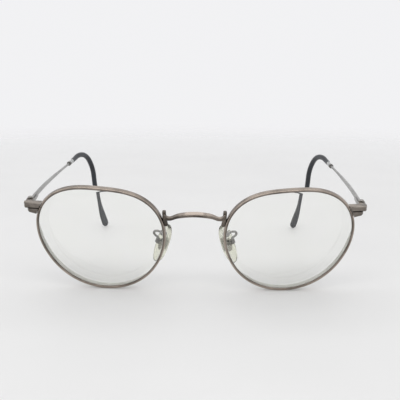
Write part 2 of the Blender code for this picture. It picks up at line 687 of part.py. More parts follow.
def pad_insert(side, name, parent, finish):
    thing = solid(name, insert_shape(0), side, parent, finish, smooth=30)
    cut(thing, pad_bore(BOSS_WIDTH), side)
    return thing


def pad_bore(reach):
    """The cross bore for the pad screw, this far to both sides."""
    ends = [pad_to_stand([BOSS_RISE, across, -PAD_AXIS_BACK]) for across in (-reach, reach)]
    return cylinder_rings(PAD_SCREW_RADIUS + SCREW_CLEARANCE, *ends, 12)


def nose_pad(side, name, parent, finish):
    """A soft oval pad, moulded round its insert."""
    levels = np.array([(-1.0, 1.2, 0.35), (-1.0, 1.0, 1), (-0.93, 0.5, 1), (-0.55, 0.1, 1), (0, 0, 1),
                       (0.45, 0.2, 1), (0.8, 0.7, 1), (0.97, 1.6, 1), (1.0, 1.8, 0.3)])
    shape = oval(PAD_LENGTH, PAD_WIDTH, 24, 2.2)
    rings = []
    for level, inset, scale in levels:
        points = (shape - inset * unit(shape)) * scale
        crown = -PAD_CROWN * (points[:, 0] / (PAD_LENGTH / 2)) ** 2
        rings.append(np.c_[points, level * PAD_THICKNESS / 2 + crown])
    thing = solid(name, pad_to_stand(rings), side, parent, finish)
    cut(thing, insert_shape(INSERT_CLEARANCE), side)
    return thing


def box_depths():
    near = PAD_THICKNESS / 2 + BOX_GAP
    far = BOSS_REACH + BOX_ROOM
    return near, far, far + BOX_WEB


def pad_box(side, name, parent, finish):
    """A small fork that takes the boss between its cheeks."""
    near, far, back = box_depths()
    inside = BOSS_WIDTH / 2 + BOX_CLEARANCE
    outside = inside + BOX_WALL
    shape = [(-outside, -near), (-outside, -back), (outside, -back), (outside, -near),
             (inside, -near), (inside, -far), (-inside, -far), (-inside, -near)]
    half = BOX_LENGTH / 2
    levels = (BOSS_RISE - half, BOSS_RISE + half)
    rings = [pad_to_stand([(level, across, depth) for across, depth in shape]) for level in levels]
    thing = solid(name, rings, side, parent, finish, smooth=30)
    cut(thing, pad_bore(2 * outside), side)
    return thing


def pad_screw(side, name, parent, finish):
    outside = BOSS_WIDTH / 2 + BOX_CLEARANCE + BOX_WALL
    seat = outside + SCREW_CLEARANCE
    places = [pad_to_stand([BOSS_RISE, across, -PAD_AXIS_BACK])
              for across in (-outside, seat, seat + PAD_HEAD_HEIGHT)]
    rings = screw_rings(PAD_SCREW_RADIUS, PAD_HEAD_RADIUS, *places, points=12)
    return solid(name, rings, side, parent, finish)


def smooth_line(points, count):
    """A smooth curve through the points, as a uniform cubic through each span."""
    points = np.asarray(points, float)
    padded = np.vstack([2 * points[0] - points[1], points, 2 * points[-1] - points[-2]])
    spans = len(points) - 1
    place = np.linspace(0, spans, count)
    index = np.minimum(place.astype(int), spans - 1)
    t = (place - index)[:, None]
    a, b, c, d = (padded[index + k] for k in range(4))
    square, cube = 2 * a - 5 * b + 4 * c - d, 3 * b - a - 3 * c + d
    return 0.5 * (2 * b + (c - a) * t + square * t ** 2 + cube * t ** 3)


def pad_arm(side, name, parent, finish):
    """A wire from the back of the rim, looped outwards and down to the top of the box."""
    out, angle = edge_at(ARM_ROOT_HEIGHT, RIM_OUTER - RIM_RADIAL / 2, True)
    root = lens_to_stand([out, ARM_ROOT_HEIGHT, rim_bow(outline(angle)) - RIM_DEPTH / 2 - 2 * BRAZE_GAP])
    back = lens_to_stand([0, 0, -1]) - lens_to_stand([0, 0, 0])
    end = pad_to_stand([BOSS_RISE + BOX_LENGTH / 2 + BRAZE_GAP, 0, -box_depths()[2] + BOX_WEB / 2])
    loop = [root, root + ARM_STRAIGHT / 2 * back, root + ARM_STRAIGHT * back, *np.array(ARM_LOOP),
            end + 0.5 * PAD_UP, end]
    line = smooth_line(loop, 44)
    rings = carry(line, circle(ARM_RADIUS, 8), back, -PAD_UP)
    return solid(name, rings, side, parent, finish)


def carry(line, shape, first_way, last_way):
    """A section carried along a line without twisting, square to the given directions at its ends."""
    tangent = unit(np.gradient(line, axis=0))
    tangent[0], tangent[-1] = first_way, last_way
    first = unit(np.cross(tangent[0], [0, 0, 1.0]))
    rings = []
    for place, way in zip(line, tangent):
        first = unit(first - way * (first @ way))
        second = np.cross(way, first)
        rings.append(place + shape[:, :1] * first + shape[:, 1:] * second)
    return np.array(rings)


def empty(name, place, parent=None):
    thing = bpy.data.objects.new(name, None)
    bpy.context.collection.objects.link(thing)
    thing.empty_display_size = 0.005
    thing.location = Vector(place)
    thing.parent = parent
    return thing


def stand_on_floor(root):
    """Turn and move the whole so that rims and tips touch the floor, centred over the origin."""
    bpy.context.view_layer.update()
    graph = bpy.context.evaluated_depsgraph_get()
    clouds = []
    for thing in bpy.context.collection.objects:
        if thing.type != "MESH" or thing.hide_render:
            continue
        mesh = thing.evaluated_get(graph).data
        co = np.empty(len(mesh.vertices) * 3)
        mesh.vertices.foreach_get("co", co)
        world = np.array(thing.matrix_world)
        clouds.append(co.reshape(-1, 3) @ world[:3, :3].T + world[:3, 3])
    points = np.concatenate(clouds)
    tilt = 0.0
    for _ in range(6):
        y = points[:, 1] * math.cos(tilt) - points[:, 2] * math.sin(tilt)
        z = points[:, 1] * math.sin(tilt) + points[:, 2] * math.cos(tilt)
        middle = (y.min() + y.max()) / 2
        front, back = y < middle, y >= middle
        f, b = np.argmin(np.where(front, z, 9)), np.argmin(np.where(back, z, 9))
        tilt -= math.atan2(z[b] - z[f], y[b] - y[f])
    y = points[:, 1] * math.cos(tilt) - points[:, 2] * math.sin(tilt)
    z = points[:, 1] * math.sin(tilt) + points[:, 2] * math.cos(tilt)
    x = points[:, 0]
    root.rotation_euler = (tilt, 0, 0)
    root.location = (-(x.min() + x.max()) / 2, -(y.min() + y.max()) / 2, -z.min())
    bpy.context.view_layer.update()
    print("root", [round(v / MM, 3) for v in root.location], "tilt", round(math.degrees(tilt), 3))


def report_axis(name, thing, direction):
    matrix = thing.matrix_world
    axis = matrix.to_3x3() @ Vector(direction)
    print(name, [round(v, 6) for v in matrix.translation], [round(v, 6) for v in axis])


def build():
    for thing in list(bpy.data.objects):
        bpy.data.objects.remove(thing)
    finishes = {
        "gunmetal": material("gunmetal", (0.26, 0.23, 0.21), 0.35, 1.0),
        "temple_metal": material("temple_metal", (0.42, 0.41, 0.40), 0.32, 1.0),
        "screw_steel": material("screw_steel", (0.55, 0.54, 0.52), 0.28, 1.0),
        "tip_plastic": material("tip_plastic", (0.025, 0.032, 0.045), 0.25, 0.0),
        "collar": material("collar", (0.62, 0.62, 0.60), 0.3, 0.6),
        "pad_silicone": material("pad_silicone", (0.80, 0.82, 0.62), 0.35, 0.0, 0.6),
        "lens_plastic": material("lens_plastic", (0.93, 0.95, 0.90), 0.02, 0.0, 0.2)}
    metal, wire, steel = finishes["gunmetal"], finishes["temple_metal"], finishes["screw_steel"]
    root = empty("eyeglasses", (0, 0, 0))
    bridge("bridge", root, metal)
    axes = []
    for word, side in SIDES.items():
        mirror = np.array([side, 1, 1])
        rim(side, f"rim_{word}", root, metal)
        lens(side, f"lens_{word}", root, finishes["lens_plastic"])
        post(side, f"bridge_post_{word}", root, metal)
        end_piece(side, f"end_piece_{word}", root, metal)
        rim_lock(side, f"rim_lock_{word}", root, metal)
        lock_screw(side, f"rim_lock_screw_{word}", root, steel)
        hinge_front(side, f"hinge_front_{word}", root, metal)
        hinge_screw(side, f"hinge_screw_{word}", root, steel)
        pad_arm(side, f"pad_arm_{word}", root, wire)
        pad_box(side, f"pad_box_{word}", root, wire)
        pad_screw(side, f"pad_screw_{word}", root, steel)
        pin = empty(f"temple_hinge_{word}", HINGE_CENTRE * mirror * MM, root)
        hinge_rear(side, f"hinge_rear_{word}", pin, wire)
        temple(side, f"temple_{word}", pin, wire)
        sleeve(side, f"tip_ring_{word}", pin, steel, BLADE_LENGTH, RING_LENGTH, RING_RADIUS)
        sleeve(side, f"tip_collar_{word}", pin, finishes["collar"],
               BLADE_LENGTH + RING_LENGTH + BRAZE_GAP, COLLAR_LENGTH, COLLAR_RADIUS)
        temple_tip(side, f"temple_tip_{word}", pin, finishes["tip_plastic"])
        pivot = empty(f"pad_pivot_{word}", pad_to_stand([BOSS_RISE, 0, -PAD_AXIS_BACK]) * mirror * MM, root)
        pad_insert(side, f"pad_insert_{word}", pivot, steel)
        nose_pad(side, f"nose_pad_{word}", pivot, finishes["pad_silicone"])
        axes += [(pin, HINGE_UP * mirror * side), (pivot, PAD_ACROSS * mirror)]
    stand_on_floor(root)
    for thing, direction in axes:
        report_axis(thing.name, thing, direction)


build()
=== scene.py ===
import json
import math
import bmesh
import bpy
import numpy as np
from mathutils import Matrix, Vector


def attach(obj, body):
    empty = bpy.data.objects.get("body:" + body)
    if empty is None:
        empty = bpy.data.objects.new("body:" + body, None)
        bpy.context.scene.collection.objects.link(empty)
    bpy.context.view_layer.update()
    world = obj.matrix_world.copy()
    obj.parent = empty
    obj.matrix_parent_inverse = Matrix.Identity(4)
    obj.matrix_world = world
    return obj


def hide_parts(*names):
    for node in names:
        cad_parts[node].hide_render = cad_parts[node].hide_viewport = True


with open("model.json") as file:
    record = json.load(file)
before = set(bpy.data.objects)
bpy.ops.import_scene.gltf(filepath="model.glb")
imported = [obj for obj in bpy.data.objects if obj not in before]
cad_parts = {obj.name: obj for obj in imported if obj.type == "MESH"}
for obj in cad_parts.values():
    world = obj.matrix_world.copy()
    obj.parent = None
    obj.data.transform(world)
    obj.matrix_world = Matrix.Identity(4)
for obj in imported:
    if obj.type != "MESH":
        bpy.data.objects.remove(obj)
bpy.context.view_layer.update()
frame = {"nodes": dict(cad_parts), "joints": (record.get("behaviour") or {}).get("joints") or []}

mm = 0.001
sides = {"left": 1, "right": -1}


# plain vector helpers
def unit(vector):
    # the same direction, of length one
    vector = np.asarray(vector, float)
    return vector / np.linalg.norm(vector, axis=-1, keepdims=True)


def ease(value):
    # from 0 to 1 with level ends: three times the square less twice the cube
    value = np.clip(value, 0, 1)
    return value * value * (3 - 2 * value)


# places: the same curves that the solids follow, in millimetres
eye = {"width": 48.0, "height": 43.5, "nose": 23.0, "brow": 0.042, "cheek": 0.024, "rounding": -0.0144,
       "lean": 18.6, "wrap": 4.2, "frontRadius": 130.0, "backRadius": 66.0, "middle": 1.8, "step": 0.6,
       "bevel": 0.45, "bevelHalf": 0.5, "clearance": 0.05, "opticalIn": 4.0, "opticalUp": 4.5, "wire": 1.0}
lensCentre = (eye["width"] + eye["nose"]) / 2
meanRadius = (eye["width"] + eye["height"]) / 4
rimInner = eye["clearance"] - eye["bevel"]     # the rim's inner and outer sides, out from the lens edge
rimOuter = rimInner + eye["wire"]
splitHeight = 11.6


def outline(angle):
    # an ellipse, flattened at the brow, full at the cheek and leaning inwards
    ellipse = 1 / np.hypot(np.cos(angle) / (eye["width"] / 2), np.sin(angle) / (eye["height"] / 2))
    change = eye["brow"] * np.sin(3 * angle) + eye["cheek"] * np.sin(2 * angle)
    return ellipse * (1 + change + eye["rounding"] * (np.cos(4 * angle) - 1))


def rimBow(radius):
    # how far the rim stands ahead of the lens plane: the sphere of the lens front, level at the mean radius
    return (meanRadius ** 2 - radius ** 2) / (2 * eye["frontRadius"])


def frontToStand(points):
    # the front stands leaning: a turn about the X axis
    points = np.asarray(points, float)
    lean = math.radians(eye["lean"])
    x, y, z = points[..., 0], points[..., 1], points[..., 2]
    return np.stack([x, y * math.cos(lean) - z * math.sin(lean), y * math.sin(lean) + z * math.cos(lean)], -1)


def lensToFront(points):
    # (out, up, ahead) at one lens becomes x, y, z of the front: a turn by the wrap, then a step to its centre
    points = np.asarray(points, float)
    out, up, ahead = points[..., 0], points[..., 1], points[..., 2]
    wrap = math.radians(eye["wrap"])
    return np.stack([lensCentre + out * math.cos(wrap) + ahead * math.sin(wrap),
                     out * math.sin(wrap) - ahead * math.cos(wrap), up], -1)


def lensToStand(points):
    return frontToStand(lensToFront(points))


def edgeAt(height, offset=0.0, noseSide=False):
    # where a curve outside the lens edge has this height: distance out, and the angle there
    angles = np.linspace(0, math.pi / 2, 800)      # fine enough for a hundredth of a millimetre
    turned = math.pi - angles if noseSide else angles
    reach = outline(turned) + offset
    rise = reach * np.sin(turned)
    return float(np.interp(height, rise, reach * np.cos(turned))), float(np.interp(height, rise, turned))


hinge = {"lean": 10.0, "out": 3.2, "drop": 0.1, "setback": 5.7}
hingeLean = math.radians(hinge["lean"])
hingeBack = np.array([0, math.cos(hingeLean), math.sin(hingeLean)])
hingeUp = np.array([0, -math.sin(hingeLean), math.cos(hingeLean)])
hingeRoot = lensToStand([eye["width"] / 2 + rimOuter + hinge["out"], splitHeight - hinge["drop"], 0])
hingeCentre = hingeRoot + hinge["setback"] * hingeBack
pins = {j["name"]: j for j in frame["joints"]}
standShift = np.array(pins["temple_fold_left"]["pos_m"]) / mm - hingeCentre


def hingeToStand(points):
    # (out, back, up) from the middle of the hinge, along its leaning axes
    return hingeCentre + np.asarray(points, float) @ np.array([[1.0, 0, 0], hingeBack, hingeUp])


pad = {"length": 15.5, "width": 7.4, "thickness": 2.0, "inset": 0.9, "back": 8.0, "drop": 4.1,
       "frontal": 18.6, "splay": 25.0, "lean": 0.03, "crown": 0.35, "power": 2.2, "around": 96, "rings": 39,
       "faceRound": 1.7, "facePower": 0.55, "backRound": 1.0, "backPower": 0.6, "closeFrom": 1.15,
       "closeOver": 0.42, "close": 0.97}
frontal, splay = math.radians(pad["frontal"]), math.radians(pad["splay"])
padUp = unit([-math.sin(frontal), -pad["lean"], math.cos(frontal)])
padFacing = np.array([-math.cos(splay), math.sin(splay), 0])
padFacing = unit(padFacing - padUp * (padFacing @ padUp))
padAcross = np.cross(padUp, padFacing)
padCentre = np.array([eye["nose"] / 2 + pad["inset"], pad["back"], -pad["drop"]])


def padToStand(points):
    # (up, across, facing) from the middle of the pad
    return padCentre + np.asarray(points, float) @ np.array([padUp, padAcross, padFacing])


# surfaces
def surface(name, rings, side, size=(1.0, 1.0), wear=None):
    # quads between rings of points, a pole point at each end, a UV in millimetres, and the value of each
    # point for the wear attribute, which holds rubbed wear and painted highlight
    rings = np.asarray(rings, float)
    count, around = rings.shape[:2]
    rows, columns = np.arange(count - 1)[:, None], np.arange(around)[None]
    following = (columns + 1) % around
    below, above = rows * around, (rows + 1) * around
    quads = np.stack([below + columns, below + following, above + following, above + columns], -1)
    u, v = columns / around * size[0] + 0 * rows, rows / count * size[1] + 0 * columns
    du, dv = size[0] / around, size[1] / count
    corners = [(u, v), (u + du, v), (u + du, v + dv), (u, v + dv)]
    uv = np.stack([np.stack(corner, -1) for corner in corners], 2).reshape(-1, 2)
    wearAndHighlight = (np.zeros((count, around)) + (0 if wear is None else wear)).ravel()
    first, last, top = count * around, count * around + 1, (count - 1) * around
    points = np.vstack([rings.reshape(-1, 3), rings[0].mean(0), rings[-1].mean(0)])
    wearAndHighlight = np.r_[wearAndHighlight, wearAndHighlight[0], wearAndHighlight[-1]]
    k, n = columns[0], following[0]
    faces = quads.reshape(-1, 4).tolist()
    faces += np.stack([np.full(around, first), n, k], -1).tolist()
    faces += np.stack([np.full(around, last), top + k, top + n], -1).tolist()
    caps = np.zeros((around * 6, 2))
    caps[:, 0] = np.repeat(columns[0] / around * size[0], 6)
    caps[around * 3:, 1] = size[1]
    uv = np.vstack([uv, caps])
    points = (points + standShift) * [side, 1, 1] * mm
    mesh = bpy.data.meshes.new(name)
    mesh.from_pydata(points.tolist(), [], faces)
    mesh.uv_layers.new(name="grain").data.foreach_set("uv", uv.astype(np.float32).ravel())
    # the wear attribute holds rubbed wear and, on the rim corners and the bridge top, painted highlight
    mesh.attributes.new("wear", "FLOAT", "POINT").data.foreach_set("value", wearAndHighlight.astype(np.float32))
    if signedVolume(mesh) < 0:
        mesh.flip_normals()
    mesh.shade_smooth()
    thing = bpy.data.objects.new(name, mesh)
    bpy.context.scene.collection.objects.link(thing)
    return thing


def signedVolume(mesh):
    # six times the volume: positive when the faces point out
    mesh.calc_loop_triangles()
    triangles = np.empty(len(mesh.loop_triangles) * 3, np.int32)
    mesh.loop_triangles.foreach_get("vertices", triangles)
    points = np.empty(len(mesh.vertices) * 3, np.float32)
    mesh.vertices.foreach_get("co", points)
    points = points.reshape(-1, 3).astype(float)
    points -= points.mean(0)
    a, b, c = points[triangles.reshape(-1, 3)].transpose(1, 0, 2)
    return float((a * np.cross(b, c)).sum())


def roundedBox(width, height, radius, points=40):
    # a rectangle with round corners; the corner points are shared out evenly
    quarter = points // 4
    turn = np.linspace(0, math.pi / 2, quarter)
    radius = min(radius, width / 2 - 1e-4, height / 2 - 1e-4)
    corner = np.stack([np.cos(turn), np.sin(turn)], -1) * radius
    w, h = width / 2 - radius, height / 2 - radius
    parts = []
    for k, (sx, sy) in enumerate(((1, 1), (-1, 1), (-1, -1), (1, -1))):     # the four corners in turn
        angle = k * math.pi / 2
        spin = np.array([(math.cos(angle), math.sin(angle)), (-math.sin(angle), math.cos(angle))])
        parts.append(corner @ spin + [sx * w, sy * h])
    return np.concatenate(parts)


def disc(radius, points=24):
    # points of a circle
    angle = np.arange(points) * 2 * math.pi / points
    return np.stack([radius * np.cos(angle), radius * np.sin(angle)], -1)


def roundOff(stations, radius, ends=(True, True), steps=5):
    # extra stations near the ends, and how far the section has shrunk there: a quarter circle
    turn = np.linspace(0, math.pi / 2, steps + 1)[:-1]
    start, stop = stations[0], stations[-1]
    inner = stations[(stations > start + radius) & (stations < stop - radius)]
    head = start + radius * (1 - np.cos(turn)) if ends[0] else np.array([start])
    tail = stop - radius * (1 - np.cos(turn))[::-1] if ends[1] else np.array([stop])
    headInset = radius * (1 - np.sin(turn)) if ends[0] else np.zeros(1)
    tailInset = (radius * (1 - np.sin(turn)))[::-1] if ends[1] else np.zeros(1)
    middle = np.r_[start + radius, inner, stop - radius]
    return np.r_[head, middle, tail], np.r_[headInset, np.zeros(len(middle)), tailInset]


def smoothLine(points, count):
    # a curve through the points: between two of them a cubic, sloped there as their neighbours lie
    points = np.asarray(points, float)
    padded = np.vstack([2 * points[0] - points[1], points, 2 * points[-1] - points[-2]])
    spans = len(points) - 1
    place = np.linspace(0, spans, count)
    index = np.minimum(place.astype(int), spans - 1)
    t = (place - index)[:, None]
    a, b, c, d = (padded[index + k] for k in range(4))
    square = (2 * a - 5 * b + 4 * c - d) * t ** 2
    cube = (3 * b - a - 3 * c + d) * t ** 3
    return 0.5 * (2 * b + (c - a) * t + square + cube)


def carry(line, sections):
    # sections carried along a line without twisting
    tangent = unit(np.gradient(line, axis=0))
    first = unit(np.cross(tangent[0], [0, 0, 1.0]))
    rings = []
    for place, way, section in zip(line, tangent, sections):
        first = unit(first - way * (first @ way))
        rings.append(place + section[:, :1] * first + section[:, 1:] * np.cross(way, first))
    return np.array(rings)


# materials
class Flow:
    # one output socket; arithmetic on it adds Math nodes
    def __init__(self, tree, socket):
        self.tree, self.socket = tree, socket

    def node(self, kind, settings=None, out=0, **inputs):
        made = self.tree.nodes.new(kind)
        for key, value in (settings or {}).items():
            setattr(made, key, value)
        for key, value in inputs.items():
            place = int(key[1:]) if key[0] == "i" and key[1:].isdigit() else key.replace("_", " ")
            if isinstance(value, Flow):
                self.tree.links.new(value.socket, made.inputs[place])
            else:
                made.inputs[place].default_value = value
        return Flow(self.tree, made.outputs[out])

    def maths(self, operation, *others, clamp=False):
        return self.node("ShaderNodeMath", {"operation": operation, "use_clamp": clamp},
                         **{f"i{k}": value for k, value in enumerate((self, *others))})

    def __add__(self, other):
        return self.maths("ADD", other)

    def __sub__(self, other):
        return self.maths("SUBTRACT", other)

    def __rsub__(self, other):
        return self.maths("MULTIPLY_ADD", -1.0, other)

    def __mul__(self, other):
        return self.maths("MULTIPLY", other)

    __radd__, __rmul__ = __add__, __mul__

    def between(self, low, high):
        # 0 below low, 1 above high, smooth between
        return self.node("ShaderNodeMapRange", {"interpolation_type": "SMOOTHSTEP"},
                         i0=self, i1=low, i2=high, i3=0.0, i4=1.0)

    def blend(self, first, second):
        # a colour between two, by this amount
        return self.node("ShaderNodeMix", {"data_type": "RGBA"}, out=2, i0=self, i6=first, i7=second)


def newMaterial(name):
    # a material, its shader, and Object coordinates in millimetres
    finish = bpy.data.materials.new(name)
    finish.use_nodes = True
    tree = finish.node_tree
    shader = tree.nodes["Principled BSDF"]
    spot = Flow(tree, None).node("ShaderNodeTexCoord", out=3)
    spot = spot.node("ShaderNodeVectorMath", {"operation": "SCALE"}, out=0, i0=spot, Scale=1 / mm)
    return finish, tree, shader, spot


def join(tree, flow, shader, name):
    tree.links.new(flow.socket, shader.inputs[name])


def noise(spot, scale, detail=3.0, rough=0.5, vector=None):
    return spot.node("ShaderNodeTexNoise", {"noise_dimensions": "3D"}, out=0,
                     Vector=vector or spot, Scale=scale, Detail=detail, Roughness=rough)


def stretched(spot, x, y, z):
    return spot.node("ShaderNodeVectorMath", {"operation": "MULTIPLY"}, i0=spot, i1=(x, y, z))


def bumpy(spot, height, strength, distance):
    return spot.node("ShaderNodeBump", Strength=strength, Distance=distance, Height=height)


seamShade = {"half": 0.16, "soft": 0.32, "tone": (0.02, 0.018, 0.015, 1)}


def seamShadeMask(spot):
    # painted shade held in the split between the two closing blocks: darker the nearer it is to the plane of
    # the split
    way = frontToStand([0, 0, 1.0])
    level = float(way @ (lensToStand([0, splitHeight, 0]) + standShift))
    height = spot.node("ShaderNodeVectorMath", {"operation": "DOT_PRODUCT"}, out=1, i0=spot, i1=tuple(way))
    return 1 - (height - level).maths("ABSOLUTE").between(seamShade["half"], seamShade["soft"])


polish = {"drift": 0.12, "driftShare": 0.35, "fine": 2.2, "speck": 3.5, "pitTone": 0.4, "fineRough": 0.16,
          "pitRough": 0.15, "evenRough": 0.08, "pitDepth": 0.6, "bump": 0.25, "height": 0.00002}
platings = {
    "antique_plating": {"dark": (0.045, 0.04, 0.034), "light": (0.44, 0.375, 0.325), "rough": 0.25,
                        "streak": 0.18, "pits": 0.5, "edge": 0.75},
    "block_plating": {"dark": (0.055, 0.05, 0.044), "light": (0.38, 0.335, 0.295), "rough": 0.2,
                      "streak": 0.5, "pits": 0.6, "shadeSeam": True},
    "dark_steel": {"dark": (0.07, 0.068, 0.062), "light": (0.26, 0.25, 0.235), "rough": 0.26,
                   "streak": 0.5, "pits": 0.5},
    "satin_nickel": {"dark": (0.20, 0.197, 0.19), "light": (0.46, 0.45, 0.435), "rough": 0.28,
                     "streak": 0.45, "pits": 0.3, "brushed": (2.5, 0.12, 2.5)},
    "screw_steel_finish": {"dark": (0.22, 0.21, 0.195), "light": (0.55, 0.53, 0.50), "rough": 0.24,
                           "streak": 0.5, "pits": 0.3}}


def metal(name, dark, light, rough, streak, pits, brushed=None, edge=0.8, shadeSeam=False):
    # plated metal: broad tone drift, fine streaks in the polish, small dark pits, and lighter where the wear
    # attribute is set, which is partly rubbed wear and partly painted highlight
    finish, tree, shader, spot = newMaterial(name)
    drift = noise(spot, polish["drift"], 3.0).between(0.35, 0.65)
    fine = noise(spot, polish["fine"], 4.0, 0.6, stretched(spot, *brushed) if brushed else spot)
    specks = noise(spot, polish["speck"], 2.0, 0.5).between(0.66, 0.74)
    # the wear attribute: rubbed wear, and painted highlight on the rim corners and the bridge top
    wearAndHighlight = spot.node("ShaderNodeAttribute", {"attribute_name": "wear"}, out=2)
    sheen = drift * polish["driftShare"] + fine * streak
    colour = sheen.maths("ADD", wearAndHighlight * edge, clamp=True).blend((*dark, 1), (*light, 1))
    colour = (specks * pits).blend(colour, (*[c * polish["pitTone"] for c in dark], 1))
    # painted shade: a dark band where the two closing blocks meet
    if shadeSeam:
        colour = seamShadeMask(spot).blend(colour, seamShade["tone"])
    gloss = fine * polish["fineRough"] + specks * polish["pitRough"] + (rough - polish["evenRough"])
    relief = fine - specks * polish["pitDepth"]
    join(tree, colour, shader, "Base Color")
    join(tree, gloss, shader, "Roughness")
    join(tree, bumpy(spot, relief, polish["bump"], polish["height"]), shader, "Normal")
    shader.inputs["Metallic"].default_value = 1.0
    return finish


antique, blockPlating, oldSteel, nickel, steel = (metal(name, **look) for name, look in platings.items())

resinLook = {"dull": (0.985, 0.99, 0.965, 1), "clear": (0.992, 0.995, 0.98, 1), "haze": 0.09, "rubbed": 0.6,
             "rough": 0.02, "ior": 1.50}


def lensMaterial():
    # clear resin with the faintest yellowing, and a few rubbed spots
    finish, tree, shader, spot = newMaterial("lens_resin")
    haze = noise(spot, resinLook["haze"], 2.0)
    rubbed = noise(spot, resinLook["rubbed"], 3.0).between(0.62, 0.85)
    join(tree, haze.between(0.3, 0.7).blend(resinLook["dull"], resinLook["clear"]), shader, "Base Color")
    join(tree, rubbed * resinLook["rough"], shader, "Roughness")
    shader.inputs["IOR"].default_value = resinLook["ior"]
    shader.inputs["Transmission Weight"].default_value = 1.0
    return finish


edgeLook = {"dull": (0.80, 0.79, 0.72, 1), "pale": (0.90, 0.90, 0.85, 1), "grind": 4.0, "rough": 0.45,
            "roughVaries": 0.25, "bump": 0.2, "height": 0.00002, "clear": 0.25}


def edgeMaterial():
    # the ground edge of the lens: a whitish, frosted wall with fine grinding marks
    finish, tree, shader, spot = newMaterial("lens_ground_edge")
    grind = noise(spot, edgeLook["grind"], 3.0, 0.6)
    join(tree, grind.between(0.3, 0.7).blend(edgeLook["dull"], edgeLook["pale"]), shader, "Base Color")
    join(tree, grind * edgeLook["roughVaries"] + edgeLook["rough"], shader, "Roughness")
    join(tree, bumpy(spot, grind, edgeLook["bump"], edgeLook["height"]), shader, "Normal")
    shader.inputs["IOR"].default_value = resinLook["ior"]
    shader.inputs["Transmission Weight"].default_value = edgeLook["clear"]
    return finish


tipLook = {"dark": (0.006, 0.0075, 0.011, 1), "light": (0.014, 0.018, 0.026, 1),
           "dry": (0.04, 0.046, 0.055, 1), "cloud": 0.35, "wear": 1.6, "dryShare": 0.3, "rough": 0.26,
           "roughVaries": 0.14, "grain": 2.5, "bump": 0.12, "height": 0.00002}


def tipMaterial():
    # near-black slate plastic: faint clouds, and a little dry wear that dulls the sheen
    finish, tree, shader, spot = newMaterial("tip_plastic_finish")
    cloud = noise(spot, tipLook["cloud"], 3.0, 0.55)
    wear = noise(spot, tipLook["wear"], 4.0, 0.6).between(0.55, 0.8)
    grain = noise(spot, tipLook["grain"], 2.0)
    colour = cloud.between(0.3, 0.7).blend(tipLook["dark"], tipLook["light"])
    colour = (wear * tipLook["dryShare"]).blend(colour, tipLook["dry"])
    gloss = cloud * tipLook["roughVaries"] + wear * tipLook["roughVaries"] + tipLook["rough"]
    join(tree, colour, shader, "Base Color")
    join(tree, gloss, shader, "Roughness")
    join(tree, bumpy(spot, grain, tipLook["bump"], tipLook["height"]), shader, "Normal")
    return finish


padLook = {"yellowed": (0.84, 0.845, 0.71, 1), "clear": (0.90, 0.90, 0.81, 1), "cloud": 0.3, "scuff": 1.4,
           "scuffRough": 0.18, "cloudRough": 0.08, "rough": 0.14, "grain": 1.5, "bump": 0.12,
           "height": 0.00003, "ior": 1.38, "clearShare": 0.96}


def padMaterial():
    # clear soft plastic, a little yellowed, with faint cloudy patches
    finish, tree, shader, spot = newMaterial("pad_silicone_finish")
    cloud = noise(spot, padLook["cloud"], 3.0)
    scuffs = noise(spot, padLook["scuff"], 3.0, 0.6).between(0.55, 0.8)
    grain = noise(spot, padLook["grain"], 2.0)
    gloss = scuffs * padLook["scuffRough"] + cloud * padLook["cloudRough"] + padLook["rough"]
    join(tree, cloud.between(0.3, 0.7).blend(padLook["yellowed"], padLook["clear"]), shader, "Base Color")
    join(tree, gloss, shader, "Roughness")
    join(tree, bumpy(spot, grain, padLook["bump"], padLook["height"]), shader, "Normal")
    shader.inputs["IOR"].default_value = padLook["ior"]
    shader.inputs["Transmission Weight"].default_value = padLook["clearShare"]
    return finish


collarLook = {"grey": (0.42, 0.43, 0.43, 1), "milky": (0.62, 0.63, 0.62, 1), "cloud": 0.8, "rough": 0.15,
              "roughVaries": 0.1, "clear": 0.35, "ior": 1.45}


def collarMaterial():
    # milky, half-clear plastic
    finish, tree, shader, spot = newMaterial("collar_finish")
    cloud = noise(spot, collarLook["cloud"], 3.0)
    join(tree, cloud.between(0.3, 0.7).blend(collarLook["grey"], collarLook["milky"]), shader, "Base Color")
    join(tree, cloud * collarLook["roughVaries"] + collarLook["rough"], shader, "Roughness")
    shader.inputs["Transmission Weight"].default_value = collarLook["clear"]
    shader.inputs["IOR"].default_value = collarLook["ior"]
    return finish


resin, groundEdge, tipPlastic = lensMaterial(), edgeMaterial(), tipMaterial()
silicone, collarGlass = padMaterial(), collarMaterial()
print("materials ready")


def place(thing, finish, body, nodes, slotName):
    # its finish, the body that carries it, the solids it stands for, and its slot, which is not used
    thing.data.materials.append(finish)
    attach(thing, body)
    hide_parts(*nodes)
    return thing


# rims: a rounded, grooved wire swept round the lens
rimShape = {"depth": 2.2, "corner": 0.40, "lip": 0.16, "mouth": 0.6, "gap": 0.14, "divisions": 420,
            "grooveRoom": 0.02, "grooveFlat": 0.04, "brightInset": 0.12, "brightReach": 0.5, "lowBright": 0.35,
            "girth": 6.0, "length": 145.0}


def rimProfile():
    # (out, ahead) round the wire: a V groove inside, small inner lips, quarter circles at the outer corners
    half, corner, lip = rimShape["depth"] / 2, rimShape["corner"], rimShape["lip"]
    turn = np.linspace(0, math.pi / 2, 9)
    groove = rimInner + eye["bevel"] + rimShape["grooveRoom"]
    sin, cos = np.sin(turn), np.cos(turn)
    outerFront = np.stack([rimOuter - corner + corner * sin, half - corner + corner * cos], -1)
    innerFront = np.stack([rimInner + lip - lip * cos, half - lip + lip * sin], -1)
    front = [(groove, rimShape["grooveFlat"]), (rimInner, rimShape["mouth"]), *innerFront, *outerFront]
    back = [(r, -a) for r, a in front[::-1]]
    return np.array(front + back)


